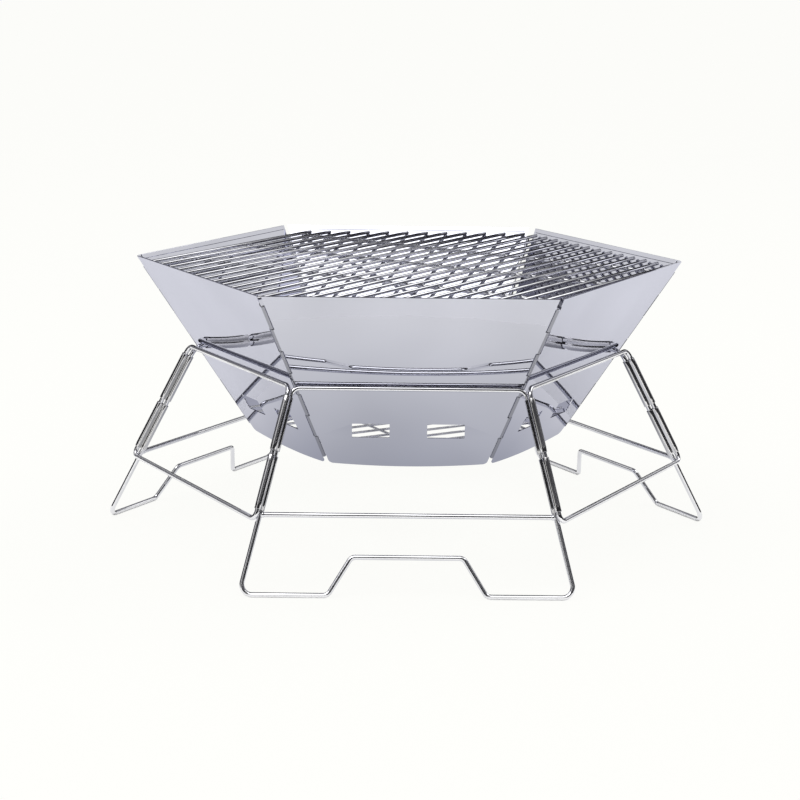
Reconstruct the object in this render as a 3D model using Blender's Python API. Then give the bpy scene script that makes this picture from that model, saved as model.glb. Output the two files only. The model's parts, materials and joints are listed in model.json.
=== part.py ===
"""Folding charcoal grill.

A six-sided bowl of hinged sheet panels stands in a ring of six hinged wire frames.
Three long frames reach the ground, three short frames tie them together, and sheet clips
hold the neighbouring legs at each corner.  A charcoal grate and a cooking grid lie in the bowl.
All sizes are in metres, +Z is up and the front of the grill faces -Y.
"""

import math

import bmesh
import bpy
from mathutils import Matrix, Vector

# General
CLEARANCE = 0.0003
SIDES = 6
ARC_STEPS = 5
MERGE_DISTANCE = 1e-6
AXIS_DISPLAY_SIZE = 0.02
SMOOTH_ANGLE = math.radians(50.0)
COLLECTION_NAME = "folding_charcoal_grill"

# Wire stand.  A short frame's lower bend leaves the long leg at 60 degrees and clears it.
WIRE_RADIUS = 0.0020
BEND_CLEARANCE = 0.00015
LEG_SPACING = (2 * WIRE_RADIUS + BEND_CLEARANCE) / math.sin(math.radians(60.0))
RAIL_CORNER_RADIUS = 0.1844
FOOT_CORNER_RADIUS = 0.2610
RAIL_HEIGHT = 0.1515
LONG_RAIL_DROP = 0.0010
SHORT_RAIL_RISE = 0.0010
MID_BAR_HEIGHT = 0.0589
SHORT_BAR_DROP = 0.0024
FRAME_BEND_RADIUS = 0.0080
SHORT_BAR_BEND_RADIUS = 0.0050
FOOT_LOW_RUN = 0.0680
FOOT_SLANT_RUN = 0.0180
FOOT_RISE = 0.0272
FOOT_BEND_RADIUS = 0.0060

# Corner clips, measured down the leg from the rail's corner
CLIP_WALL = 0.0005
CLIP_LENGTH = 0.0435
UPPER_CLIP_TOP = 0.0080
CLIP_SPACE = 0.0045
CLIP_ARC_STEPS = 8
HOOK_ARM = 0.0035
HOOK_LIP = 0.0010

# Bowl panels
RIM_CORNER_RADIUS = 0.2300
FLOOR_CORNER_RADIUS = 0.1310
BOWL_DEPTH = 0.1498
SHEET_THICKNESS = 0.0008
SHEET_SETBACK = 0.00006
HEM_HEIGHT = 0.0040
HEM_THICKNESS = 0.0006
HEM_CORNER_GAP = 0.0060
HEM_TOP_SETBACK = 0.0002
BOTTOM_BULGE = 0.0035
BOTTOM_STEPS = 10
BOTTOM_CORNER_RADIUS = 0.0050
VENT_WIDTH = 0.0300
VENT_HEIGHT = 0.0150
VENT_OFFSET = 0.0300
VENT_CENTRE_HEIGHT = 0.0355

# Panel hinges
KNUCKLE_RADIUS = 0.0015
KNUCKLE_SIDES = 10
KNUCKLE_COUNT = 7
KNUCKLE_START = 0.060
KNUCKLE_END = 0.964
KNUCKLE_GAP = 0.0006
TAB_SETBACK = 0.00015
TAB_OVERLAP = 0.00015
PANEL_EDGE_INSET = 0.0019
OPEN_CORNER_INSET = 0.0060
PIN_RADIUS = 0.00055
PIN_SIDES = 8
PIN_OVERHANG = 0.0005
BORE_RADIUS = (PIN_RADIUS + CLEARANCE) / math.cos(math.pi / PIN_SIDES)

# Charcoal grate
GRATE_ABOVE_FLOOR = 0.0178
GRATE_WIRE_RADIUS = 0.0010
GRATE_WIRE_SPACING = 0.0180
GRATE_ANGLE = math.radians(30.0)
GRATE_BRACE_OFFSET = 0.0550
GRATE_SHORTEST_WIRE = 2 * GRATE_BRACE_OFFSET
GRATE_BRACE_OVERHANG = 0.0200

# Cooking grid
GRID_BELOW_RIM = 0.0057
GRID_ROD_RADIUS = 0.0015
GRID_ROD_SPACING = 0.0152
GRID_SHORTEST_ROD = 0.2000
GRID_ANGLE = math.radians(57.0)
GRID_CROSS_OFFSETS = (-0.0760, 0.0200, 0.1060)
GRID_CROSS_OVERHANG = 0.0030
WELD_DEPTH = 0.0004
ROD_SIDES = 8

# The corners stand at angles of 0, 60, 120, 180, 240 and 300 degrees.
RIGHT, BACK_RIGHT, BACK_LEFT, LEFT, FRONT_LEFT, FRONT_RIGHT = range(SIDES)
SIDE_NAMES = ("back_right", "back", "back_left", "front_left", "front", "front_right")
CORNER_NAMES = ("right", "rear_right", "rear_left", "left", "front_left", "front_right")
LONG_SIDES = (0, 2, 4)
OPEN_CORNER = BACK_RIGHT

# Colour, roughness and metallic value of each finish
FINISHES = {
    "polished_sheet": ((0.62, 0.63, 0.67), 0.10, 1.0),
    "bright_wire": ((0.72, 0.72, 0.73), 0.16, 1.0),
    "clip_steel": ((0.30, 0.30, 0.32), 0.34, 1.0),
    "pin_steel": ((0.45, 0.45, 0.47), 0.25, 1.0),
}


def clear_scene():
    for old in list(bpy.data.objects):
        bpy.data.objects.remove(old, do_unlink=True)


def new_collection(name):
    collection = bpy.data.collections.new(name)
    bpy.context.scene.collection.children.link(collection)
    return collection


clear_scene()
PARTS = new_collection(COLLECTION_NAME)
CUTTERS = new_collection("cutters")


def paint(obj, finish):
    colour, roughness, metallic = FINISHES[finish]
    material = bpy.data.materials.new(obj.name + "_" + finish)
    material.use_nodes = True
    shader = material.node_tree.nodes["Principled BSDF"]
    shader.inputs["Base Color"].default_value = (*colour, 1.0)
    shader.inputs["Roughness"].default_value = roughness
    shader.inputs["Metallic"].default_value = metallic
    obj.data.materials.clear()
    obj.data.materials.append(material)


def corner_angle(corner):
    return math.radians(60.0 * corner)


def ring_point(corner, radius, height):
    angle = corner_angle(corner)
    return Vector((radius * math.cos(angle), radius * math.sin(angle), height))


# Stand geometry
STAND_SLOPE = (FOOT_CORNER_RADIUS - RAIL_CORNER_RADIUS) / (RAIL_HEIGHT - WIRE_RADIUS)
STAND_TILT = math.atan(STAND_SLOPE)
CORNER_COSINE = math.cos(math.pi / SIDES)
LONG_OFFSET = -LEG_SPACING / 2
SHORT_OFFSET = LEG_SPACING / 2
LONG_RAIL_HEIGHT = RAIL_HEIGHT - LONG_RAIL_DROP
SHORT_RAIL_HEIGHT = RAIL_HEIGHT + SHORT_RAIL_RISE
SHORT_BAR_HEIGHT = MID_BAR_HEIGHT - SHORT_BAR_DROP


def leg_radius(height, offset):
    along = RAIL_CORNER_RADIUS + (RAIL_HEIGHT - height) * STAND_SLOPE
    return along + offset / math.cos(STAND_TILT)


def leg_point(corner, height, offset):
    return ring_point(corner, leg_radius(height, offset), height)


def leg_axes(corner):
    """Outward, sideways (anticlockwise) and downward directions at one corner of the stand."""
    angle = corner_angle(corner)
    cosine = math.cos(STAND_TILT)
    sine = math.sin(STAND_TILT)
    outward = Vector((cosine * math.cos(angle), cosine * math.sin(angle), sine))
    downward = Vector((sine * math.cos(angle), sine * math.sin(angle), -cosine))
    return outward, outward.cross(downward), downward


# Bowl geometry: the long frames' rails carry the panels.
BOWL_SLOPE = (RIM_CORNER_RADIUS - FLOOR_CORNER_RADIUS) / BOWL_DEPTH
PANEL_TILT = math.atan(BOWL_SLOPE * CORNER_COSINE)
SHEET_MIDDLE = KNUCKLE_RADIUS - SHEET_SETBACK - SHEET_THICKNESS / 2
SHEET_INNER = SHEET_MIDDLE - SHEET_THICKNESS / 2
RAIL_APOTHEM = leg_radius(LONG_RAIL_HEIGHT, LONG_OFFSET) * CORNER_COSINE
SEAT_APOTHEM = RAIL_APOTHEM - (KNUCKLE_RADIUS + WIRE_RADIUS + CLEARANCE) / math.cos(PANEL_TILT)
FLOOR_HEIGHT = LONG_RAIL_HEIGHT - (SEAT_APOTHEM / CORNER_COSINE - FLOOR_CORNER_RADIUS) / BOWL_SLOPE
RIM_HEIGHT = FLOOR_HEIGHT + BOWL_DEPTH
GRATE_HEIGHT = FLOOR_HEIGHT + GRATE_ABOVE_FLOOR
GRID_HEIGHT = RIM_HEIGHT - GRID_BELOW_RIM


def bowl_radius(height):
    return FLOOR_CORNER_RADIUS + (height - FLOOR_HEIGHT) * BOWL_SLOPE


def inner_apothem(height):
    """Distance from the centre line to a panel's inner face."""
    return bowl_radius(height) * CORNER_COSINE + SHEET_INNER / math.cos(PANEL_TILT)


def frame_matrix(x_axis, y_axis, z_axis, origin):
    matrix = Matrix.Identity(4)
    for column, axis in enumerate((x_axis, y_axis, z_axis, origin)):
        for row in range(3):
            matrix[row][column] = axis[row]
    return matrix


def rounded_path(points, radii, closed=True):
    """Replace each corner by an arc of its radius; a radius of 0 keeps the corner."""
    path = []
    last = len(points) - 1
    for index, point in enumerate(points):
        radius = radii[index]
        if radius <= 0 or (not closed and index in (0, last)):
            path.append(point)
            continue
        before = (points[index - 1] - point).normalized()
        after = (points[(index + 1) % len(points)] - point).normalized()
        half = before.angle(after) / 2
        centre = point + (before + after).normalized() * (radius / math.sin(half))
        start = point + before * (radius / math.tan(half)) - centre
        finish = point + after * (radius / math.tan(half)) - centre
        span = start.angle(finish)
        for step in range(ARC_STEPS + 1):
            turn = span * step / ARC_STEPS
            blend = (start * math.sin(span - turn) + finish * math.sin(turn)) / math.sin(span)
            path.append(centre + blend)
    return path


def shade_round(obj):
    obj.data.shade_smooth()
    obj.data.set_sharp_from_angle(angle=SMOOTH_ANGLE)


def mesh_from_curve(curve_object, name):
    """A welded mesh object in the curve's place."""
    graph = bpy.context.evaluated_depsgraph_get()
    mesh = bpy.data.meshes.new_from_object(curve_object.evaluated_get(graph))
    work = bmesh.new()
    work.from_mesh(mesh)
    bmesh.ops.remove_doubles(work, verts=work.verts, dist=MERGE_DISTANCE)
    bmesh.ops.recalc_face_normals(work, faces=work.faces)
    work.to_mesh(mesh)
    work.free()
    place = curve_object.matrix_world.copy()
    curve = curve_object.data
    bpy.data.objects.remove(curve_object, do_unlink=True)
    bpy.data.curves.remove(curve)
    mesh.name = name
    solid = bpy.data.objects.new(name, mesh)
    PARTS.objects.link(solid)
    solid.matrix_world = place
    return solid


def wire(name, points, radius, finish, closed=False):
    curve = bpy.data.curves.new(name, "CURVE")
    curve.dimensions = "3D"
    curve.bevel_depth = radius
    curve.bevel_resolution = 2
    curve.use_fill_caps = True
    spline = curve.splines.new("POLY")
    spline.points.add(len(points) - 1)
    for target, point in zip(spline.points, points):
        target.co = (*point, 1.0)
    spline.use_cyclic_u = closed
    obj = bpy.data.objects.new(name, curve)
    PARTS.objects.link(obj)
    obj = mesh_from_curve(obj, name)
    shade_round(obj)
    paint(obj, finish)
    return obj


def plate(name, outlines, thickness, matrix, finish):
    """A flat piece: the first outline is its edge and the others are its holes."""
    curve = bpy.data.curves.new(name, "CURVE")
    curve.dimensions = "2D"
    curve.fill_mode = "BOTH"
    curve.extrude = thickness / 2
    for outline in outlines:
        spline = curve.splines.new("POLY")
        spline.points.add(len(outline) - 1)
        for target, point in zip(spline.points, outline):
            target.co = (point[0], point[1], 0.0, 1.0)
        spline.use_cyclic_u = True
    obj = bpy.data.objects.new(name, curve)
    PARTS.objects.link(obj)
    obj.matrix_world = matrix
    obj = mesh_from_curve(obj, name)
    paint(obj, finish)
    return obj


def round_bar(work, start, finish, radius, sides, facing):
    """Add a capped cylinder to a bmesh, with one corner of its section towards facing."""
    along = (finish - start).normalized()
    side = along.cross(facing).normalized()
    matrix = frame_matrix(side.cross(along), side, along, (start + finish) / 2)
    bmesh.ops.create_cone(
        work,
        cap_ends=True,
        segments=sides,
        radius1=radius,
        radius2=radius,
        depth=(finish - start).length,
        matrix=matrix,
    )


def solid_from(work, name, collection, matrix=None):
    bmesh.ops.recalc_face_normals(work, faces=work.faces)
    mesh = bpy.data.meshes.new(name)
    work.to_mesh(mesh)
    work.free()
    obj = bpy.data.objects.new(name, mesh)
    collection.objects.link(obj)
    if matrix is not None:
        obj.matrix_world = matrix
    return obj


def as_cutter(obj):
    obj.hide_render = True
    obj.display_type = "WIRE"
    return obj


def boolean(obj, tool, operation):
    attach(tool, obj)
    modifier = obj.modifiers.new(operation.lower() + "_" + tool.name, "BOOLEAN")
    modifier.operation = operation
    modifier.solver = "EXACT"
    modifier.object = tool


def axis_empty(name, origin, axis):
    """Empty on a joint's axis, with its Z along the axis."""
    empty = bpy.data.objects.new("axis_" + name, None)
    empty.empty_display_size = AXIS_DISPLAY_SIZE
    PARTS.objects.link(empty)
    turn = axis.to_track_quat("Z", "Y").to_matrix().to_4x4()
    empty.matrix_world = Matrix.Translation(origin) @ turn
    return empty


def attach(child, parent):
    """Parent a piece without moving it."""
    bpy.context.view_layer.update()
    child.parent = parent
    child.matrix_parent_inverse = parent.matrix_world.inverted()


# Stand
def frame_corners(side, rail, low, offset):
    first = side
    second = (side + 1) % SIDES
    return [
        leg_point(first, rail, offset),
        leg_point(second, rail, offset),
        leg_point(second, low, offset),
        leg_point(first, low, offset),
    ]


def long_frame(side):
    """Rail, two legs and a foot wire that steps up in its middle, in one bent loop."""
    top_left, top_right, low_right, low_left = frame_corners(
        side, LONG_RAIL_HEIGHT, WIRE_RADIUS, LONG_OFFSET)
    run = (low_right - low_left).normalized()
    rise = (top_left + top_right - low_left - low_right).normalized()
    rise = rise * (FOOT_RISE / rise.z)
    width = (low_right - low_left).length
    step = FOOT_LOW_RUN + FOOT_SLANT_RUN
    foot = [
        low_left + run * FOOT_LOW_RUN,
        low_left + run * step + rise,
        low_left + run * (width - step) + rise,
        low_left + run * (width - FOOT_LOW_RUN),
    ]
    points = [top_right, top_left, low_left] + foot + [low_right]
    radii = [FRAME_BEND_RADIUS] * 3 + [FOOT_BEND_RADIUS] * 4 + [FRAME_BEND_RADIUS]
    path = rounded_path(points, radii)
    return wire("stand_%s_frame" % SIDE_NAMES[side], path, WIRE_RADIUS, "bright_wire", closed=True)


def mid_bar(side):
    """Straight bar between the legs of a long frame."""
    first = leg_point(side, MID_BAR_HEIGHT, LONG_OFFSET)
    second = leg_point((side + 1) % SIDES, MID_BAR_HEIGHT, LONG_OFFSET)
    run = (second - first).normalized()
    leg = leg_axes(side)[2]
    setback = (WIRE_RADIUS + CLEARANCE + WIRE_RADIUS * abs(run.dot(leg))) / math.sin(run.angle(leg))
    ends = [first + run * setback, second - run * setback]
    return wire("stand_%s_mid_bar" % SIDE_NAMES[side], ends, WIRE_RADIUS, "bright_wire")


def short_frame(side):
    points = frame_corners(side, SHORT_RAIL_HEIGHT, SHORT_BAR_HEIGHT, SHORT_OFFSET)
    radii = [FRAME_BEND_RADIUS] * 2 + [SHORT_BAR_BEND_RADIUS] * 2
    path = rounded_path(points, radii)
    return wire("stand_%s_frame" % SIDE_NAMES[side], path, WIRE_RADIUS, "bright_wire", closed=True)


def clip_outline(open_hook):
    """Section of a corner clip: X points outward, the long frame's leg is at -X."""
    inner = WIRE_RADIUS + CLEARANCE
    outer = inner + CLIP_WALL
    half = LEG_SPACING / 2

    def arc(centre, radius, start, finish):
        points = []
        for step in range(CLIP_ARC_STEPS + 1):
            angle = math.radians(start + (finish - start) * step / CLIP_ARC_STEPS)
            points.append((centre + radius * math.cos(angle), radius * math.sin(angle)))
        return points

    if not open_hook:
        ring = arc(half, outer, -90, 90) + arc(-half, outer, 90, 270)
        bore = arc(half, inner, -90, 90) + arc(-half, inner, 90, 270)
        return [ring, bore]
    outside = [(half - HOOK_ARM - HOOK_LIP, -outer)] + arc(half, outer, -90, 90)
    inside = arc(half, inner, 90, -90) + [(half - HOOK_ARM - HOOK_LIP, -inner)]
    lip_end = [(half - HOOK_LIP, outer), (half - HOOK_LIP, inner)]
    return [outside + lip_end + inside]


def corner_clips(corner):
    outward, sideways, downward = leg_axes(corner)
    clips = []
    for label, top in (("upper", UPPER_CLIP_TOP), ("lower", UPPER_CLIP_TOP + CLIP_LENGTH + CLIP_SPACE)):
        centre = leg_point(corner, RAIL_HEIGHT, 0.0) + downward * (top + CLIP_LENGTH / 2)
        matrix = frame_matrix(outward, sideways, outward.cross(sideways), centre)
        name = "clip_%s_%s" % (CORNER_NAMES[corner], label)
        outlines = clip_outline(corner == OPEN_CORNER)
        clips.append(plate(name, outlines, CLIP_LENGTH, matrix, "clip_steel"))
    return clips


# Bowl panels
FLOOR_HALF_WIDTH = FLOOR_CORNER_RADIUS / 2
RIM_HALF_WIDTH = RIM_CORNER_RADIUS / 2
PANEL_HEIGHT = BOWL_DEPTH / math.cos(PANEL_TILT)
SIDE_LENGTH = math.hypot(RIM_HALF_WIDTH - FLOOR_HALF_WIDTH, PANEL_HEIGHT)
SIDE_ACROSS = (RIM_HALF_WIDTH - FLOOR_HALF_WIDTH) / SIDE_LENGTH
SIDE_UP = PANEL_HEIGHT / SIDE_LENGTH
TAB_INSET = math.sqrt(BORE_RADIUS ** 2 - SHEET_INNER ** 2) + TAB_OVERLAP
KNUCKLE_PITCH = (KNUCKLE_END - KNUCKLE_START) * SIDE_LENGTH / KNUCKLE_COUNT


def edge_point(hand, distance, inset):
    """Point on the panel's left (-1) or right (+1) pin line, moved inward by inset."""
    across = RIM_HALF_WIDTH - distance * SIDE_ACROSS - inset * SIDE_UP
    up = PANEL_HEIGHT - distance * SIDE_UP + inset * SIDE_ACROSS
    return Vector((hand * across, up, 0.0))


def distance_at(height, inset):
    """Distance down the pin line where the inset edge crosses one height."""
    return (PANEL_HEIGHT - height + inset * SIDE_ACROSS) / SIDE_UP


def knuckle_span(index):
    start = KNUCKLE_START * SIDE_LENGTH + index * KNUCKLE_PITCH + KNUCKLE_GAP / 2
    return start, start + KNUCKLE_PITCH - KNUCKLE_GAP


def own_knuckles(side, corner):
    """The short frames' panels carry four knuckles at each corner, and the others three."""
    if side not in LONG_SIDES:
        return range(0, KNUCKLE_COUNT, 2)
    if corner == OPEN_CORNER:
        return range(0)
    return range(1, KNUCKLE_COUNT, 2)


def edge_inset(side, corner):
    if side in LONG_SIDES and corner == OPEN_CORNER:
        return OPEN_CORNER_INSET
    return PANEL_EDGE_INSET


def panel_side(side, corner, hand):
    """Edge of the sheet from the rim down to the floor, with a tab for each knuckle."""
    inset = edge_inset(side, corner)
    points = [edge_point(hand, distance_at(PANEL_HEIGHT, inset), inset)]
    for index in own_knuckles(side, corner):
        start, finish = knuckle_span(index)
        start += TAB_SETBACK
        finish -= TAB_SETBACK
        points.append(edge_point(hand, start, inset))
        points.append(edge_point(hand, start, TAB_INSET))
        points.append(edge_point(hand, finish, TAB_INSET))
        points.append(edge_point(hand, finish, inset))
    points.append(edge_point(hand, distance_at(0.0, inset), inset))
    return points


def panel_matrix(side):
    angle = corner_angle(side + 0.5)
    outward = Vector((math.cos(angle), math.sin(angle), 0.0))
    along = Vector((-math.sin(angle), math.cos(angle), 0.0))
    normal = outward * math.cos(PANEL_TILT) + Vector((0.0, 0.0, -math.sin(PANEL_TILT)))
    up = normal.cross(along)
    origin = outward * (FLOOR_CORNER_RADIUS * CORNER_COSINE) + Vector((0.0, 0.0, FLOOR_HEIGHT))
    return frame_matrix(along, up, normal, origin)


def box(work, centre, size):
    """Add a box to a bmesh."""
    made = bmesh.ops.create_cube(work, size=1.0)["verts"]
    bmesh.ops.scale(work, vec=size, verts=made)
    bmesh.ops.translate(work, vec=centre, verts=made)


def panel(side):
    """Sheet panel with hem, vents, rounded convex bottom and rolled hinge knuckles."""
    name = "bowl_%s_panel" % SIDE_NAMES[side]
    first = side
    second = (side + 1) % SIDES
    matrix = panel_matrix(side)
    right = panel_side(side, second, 1.0)
    left = panel_side(side, first, -1.0)
    bottom = []
    for step in range(1, BOTTOM_STEPS):
        share = 1.0 - 2.0 * step / BOTTOM_STEPS
        across = right[-1].x * (1 + share) / 2 + left[-1].x * (1 - share) / 2
        bottom.append(Vector((across, -BOTTOM_BULGE * (1.0 - share * share), 0.0)))
    points = right + bottom + left[::-1]
    radii = [0.0] * len(points)
    radii[len(right) - 1] = BOTTOM_CORNER_RADIUS
    radii[len(right) + len(bottom)] = BOTTOM_CORNER_RADIUS
    outline = rounded_path(points, radii)
    sheet_place = matrix @ Matrix.Translation((0.0, 0.0, SHEET_MIDDLE))
    sheet = plate(name, [outline], SHEET_THICKNESS, sheet_place, "polished_sheet")

    work = bmesh.new()
    for hand, corner in ((1.0, second), (-1.0, first)):
        for index in own_knuckles(side, corner):
            start, finish = knuckle_span(index)
            round_bar(work, edge_point(hand, start, 0.0), edge_point(hand, finish, 0.0),
                      KNUCKLE_RADIUS, KNUCKLE_SIDES, Vector((0.0, 0.0, 1.0)))
    knuckles = as_cutter(solid_from(work, name + "_knuckles", CUTTERS, matrix))
    boolean(sheet, knuckles, "UNION")

    hem = bmesh.new()
    hem_right = RIM_HALF_WIDTH - HEM_CORNER_GAP - edge_inset(side, second) + PANEL_EDGE_INSET
    hem_left = RIM_HALF_WIDTH - HEM_CORNER_GAP - edge_inset(side, first) + PANEL_EDGE_INSET
    hem_depth = HEM_THICKNESS + SHEET_THICKNESS / 2
    hem_centre = Vector((
        (hem_right - hem_left) / 2,
        PANEL_HEIGHT - HEM_TOP_SETBACK - HEM_HEIGHT / 2,
        SHEET_MIDDLE - hem_depth / 2,
    ))
    box(hem, hem_centre, Vector((hem_right + hem_left, HEM_HEIGHT, hem_depth)))
    fold = as_cutter(solid_from(hem, name + "_hem", CUTTERS, matrix))
    boolean(sheet, fold, "UNION")

    vents = bmesh.new()
    for across in (-VENT_OFFSET, VENT_OFFSET):
        centre = Vector((across, VENT_CENTRE_HEIGHT, SHEET_MIDDLE))
        box(vents, centre, Vector((VENT_WIDTH, VENT_HEIGHT, 4 * SHEET_THICKNESS)))
    punch = as_cutter(solid_from(vents, name + "_vents", CUTTERS, matrix))
    boolean(sheet, punch, "DIFFERENCE")

    bores = bmesh.new()
    for hand, corner in ((1.0, second), (-1.0, first)):
        if len(own_knuckles(side, corner)):
            round_bar(bores, edge_point(hand, 0.0, 0.0), edge_point(hand, SIDE_LENGTH, 0.0),
                      BORE_RADIUS, PIN_SIDES, Vector((0.0, 0.0, 1.0)))
    drill = as_cutter(solid_from(bores, name + "_bores", CUTTERS, matrix))
    boolean(sheet, drill, "DIFFERENCE")
    return sheet


def bowl_corner_point(corner, distance):
    """Point on a corner's pin line, at a distance down from the rim."""
    share = distance / SIDE_LENGTH
    radius = RIM_CORNER_RADIUS + (FLOOR_CORNER_RADIUS - RIM_CORNER_RADIUS) * share
    return ring_point(corner, radius, RIM_HEIGHT - BOWL_DEPTH * share)


def hinge_pin(corner):
    start = knuckle_span(0)[0] - PIN_OVERHANG
    finish = knuckle_span(KNUCKLE_COUNT - 1)[1] + PIN_OVERHANG
    facing = ring_point(corner, 1.0, 0.0)
    work = bmesh.new()
    round_bar(work, bowl_corner_point(corner, start), bowl_corner_point(corner, finish),
              PIN_RADIUS, PIN_SIDES, facing)
    pin = solid_from(work, "hinge_pin_%s" % CORNER_NAMES[corner], PARTS)
    shade_round(pin)
    paint(pin, "pin_steel")
    return pin


# Grate and grid
def chord(offset, angle, apothem, corner_reach, radius):
    """Ends of a bar across the bowl, at a sideways offset from the centre."""
    along = Vector((math.cos(angle), math.sin(angle), 0.0))
    across = Vector((-math.sin(angle), math.cos(angle), 0.0))
    base = across * offset
    far = corner_reach
    near = -corner_reach
    walls = [(corner_angle(side + 0.5), apothem) for side in range(SIDES)]
    walls += [(corner_angle(corner), corner_reach) for corner in range(SIDES)]
    for wall_angle, reach in walls:
        normal = Vector((math.cos(wall_angle), math.sin(wall_angle), 0.0))
        slope = along.dot(normal)
        if abs(slope) < 1e-6:
            continue
        half = radius * (math.sqrt(max(0.0, 1.0 - slope * slope)) + math.tan(PANEL_TILT))
        limit = (reach - half - base.dot(normal)) / slope
        if slope > 0:
            far = min(far, limit)
        else:
            near = max(near, limit)
    return base + along * near, base + along * far


def bar_chords(angle, apothem, corner_reach, radius, spacing, shortest):
    """Ends of every bar that fits, from the middle outwards to both sides."""
    chords = [chord(0.0, angle, apothem, corner_reach, radius)]
    offset = spacing
    while offset < corner_reach:
        pair = [chord(side * offset, angle, apothem, corner_reach, radius) for side in (-1, 1)]
        along = Vector((math.cos(angle), math.sin(angle), 0.0))
        if min((finish - start).dot(along) for start, finish in pair) < shortest:
            break
        chords += pair
        offset += spacing
    return chords


def crossed_bars(name, angle, top_height, radius, spacing, shortest, brace_offsets, overhang):
    """Parallel bars fused to the crossing bars under them."""
    apothem = inner_apothem(top_height) - CLEARANCE / math.cos(PANEL_TILT)
    corner_reach = bowl_radius(top_height) - KNUCKLE_RADIUS - 2 * CLEARANCE
    up = Vector((0.0, 0.0, 1.0))
    bars = bmesh.new()
    chords = bar_chords(angle, apothem, corner_reach, radius, spacing, shortest)
    lift = Vector((0.0, 0.0, top_height))
    for start, finish in chords:
        round_bar(bars, start + lift, finish + lift, radius, ROD_SIDES, up)
    brace_length = (len(chords) - 1) * spacing + 2 * (radius + overhang)
    top = solid_from(bars, name, PARTS)
    shade_round(top)

    braces = bmesh.new()
    brace_height = top_height - 2 * radius + WELD_DEPTH
    brace_apothem = inner_apothem(brace_height) - CLEARANCE / math.cos(PANEL_TILT)
    for offset in brace_offsets:
        start, finish = chord(offset, angle - math.pi / 2, brace_apothem,
                              corner_reach, radius)
        along = (finish - start).normalized()
        foot = start - along * start.dot(along)
        reach_start = max(start.dot(along), -brace_length / 2)
        reach_finish = min(finish.dot(along), brace_length / 2)
        lift = Vector((0.0, 0.0, brace_height))
        round_bar(braces, foot + along * reach_start + lift, foot + along * reach_finish + lift,
                  radius, ROD_SIDES, up)
    under = as_cutter(solid_from(braces, name + "_braces", CUTTERS))
    boolean(top, under, "UNION")
    return top


def cooking_grid():
    grid = crossed_bars("cooking_grid", GRID_ANGLE, GRID_HEIGHT, GRID_ROD_RADIUS,
                        GRID_ROD_SPACING, GRID_SHORTEST_ROD, GRID_CROSS_OFFSETS,
                        GRID_CROSS_OVERHANG)
    paint(grid, "bright_wire")
    return grid


def charcoal_grate():
    grate = crossed_bars("charcoal_grate", GRATE_ANGLE, GRATE_HEIGHT, GRATE_WIRE_RADIUS,
                         GRATE_WIRE_SPACING, GRATE_SHORTEST_WIRE,
                         (-GRATE_BRACE_OFFSET, GRATE_BRACE_OFFSET), GRATE_BRACE_OVERHANG)
    paint(grate, "bright_wire")
    return grate


# Bodies that move together: what carries each one, the corner that it turns at and its line there
STAND_HINGES = (
    ("stand_front_right", "stand_front", FRONT_RIGHT, LONG_OFFSET),
    ("stand_back_right", "stand_front_right", RIGHT, SHORT_OFFSET),
    ("stand_front_left", "stand_front", FRONT_LEFT, SHORT_OFFSET),
    ("stand_back_left", "stand_front_left", LEFT, SHORT_OFFSET),
    ("stand_back", "stand_back_left", BACK_LEFT, LONG_OFFSET),
)
BOWL_HINGES = (
    ("bowl_front_right", "bowl_front", FRONT_RIGHT),
    ("bowl_back_right", "bowl_front_right", RIGHT),
    ("bowl_front_left", "bowl_front", FRONT_LEFT),
    ("bowl_back_left", "bowl_front_left", LEFT),
    ("bowl_back", "bowl_back_left", BACK_LEFT),
)
CLIP_BODIES = ("stand_back_right", "stand_back", "stand_back", "stand_back_left", "stand_front",
               "stand_front_right")
PIN_BODIES = ("bowl_front_right", "bowl_back", "bowl_back_left", "bowl_front_left", "bowl_front",
              "bowl_front")


def joint_empties():
    """One empty for each body, on the axis that the body slides along or turns about."""
    up = Vector((0.0, 0.0, 1.0))
    centre = Vector((0.0, 0.0, 0.0))
    empties = {"stand_front": axis_empty("stand_front", centre, up)}
    for body, carrier in (("bowl_front", "stand_front"), ("charcoal_grate", "bowl_front"),
                          ("cooking_grid", "charcoal_grate")):
        empties[body] = axis_empty(body, centre, up)
        attach(empties[body], empties[carrier])
    for body, carrier, corner, offset in STAND_HINGES:
        place = leg_point(corner, MID_BAR_HEIGHT, offset)
        empties[body] = axis_empty(body, place, -leg_axes(corner)[2])
        attach(empties[body], empties[carrier])
    for body, carrier, corner in BOWL_HINGES:
        foot = bowl_corner_point(corner, SIDE_LENGTH)
        rim = bowl_corner_point(corner, 0.0)
        empties[body] = axis_empty(body, foot, rim - foot)
        attach(empties[body], empties[carrier])
    return empties


def build():
    empties = joint_empties()
    for side, name in enumerate(SIDE_NAMES):
        if side in LONG_SIDES:
            attach(long_frame(side), empties["stand_" + name])
            attach(mid_bar(side), empties["stand_" + name])
        else:
            attach(short_frame(side), empties["stand_" + name])
        attach(panel(side), empties["bowl_" + name])
    for corner in range(SIDES):
        for clip in corner_clips(corner):
            attach(clip, empties[CLIP_BODIES[corner]])
        attach(hinge_pin(corner), empties[PIN_BODIES[corner]])
    attach(charcoal_grate(), empties["charcoal_grate"])
    attach(cooking_grid(), empties["cooking_grid"])


build()
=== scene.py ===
"""Finished surfaces, light and camera for a six-sided folding charcoal grill."""

import json
import math

import bmesh
import bpy
from mathutils import Matrix, Vector


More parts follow.
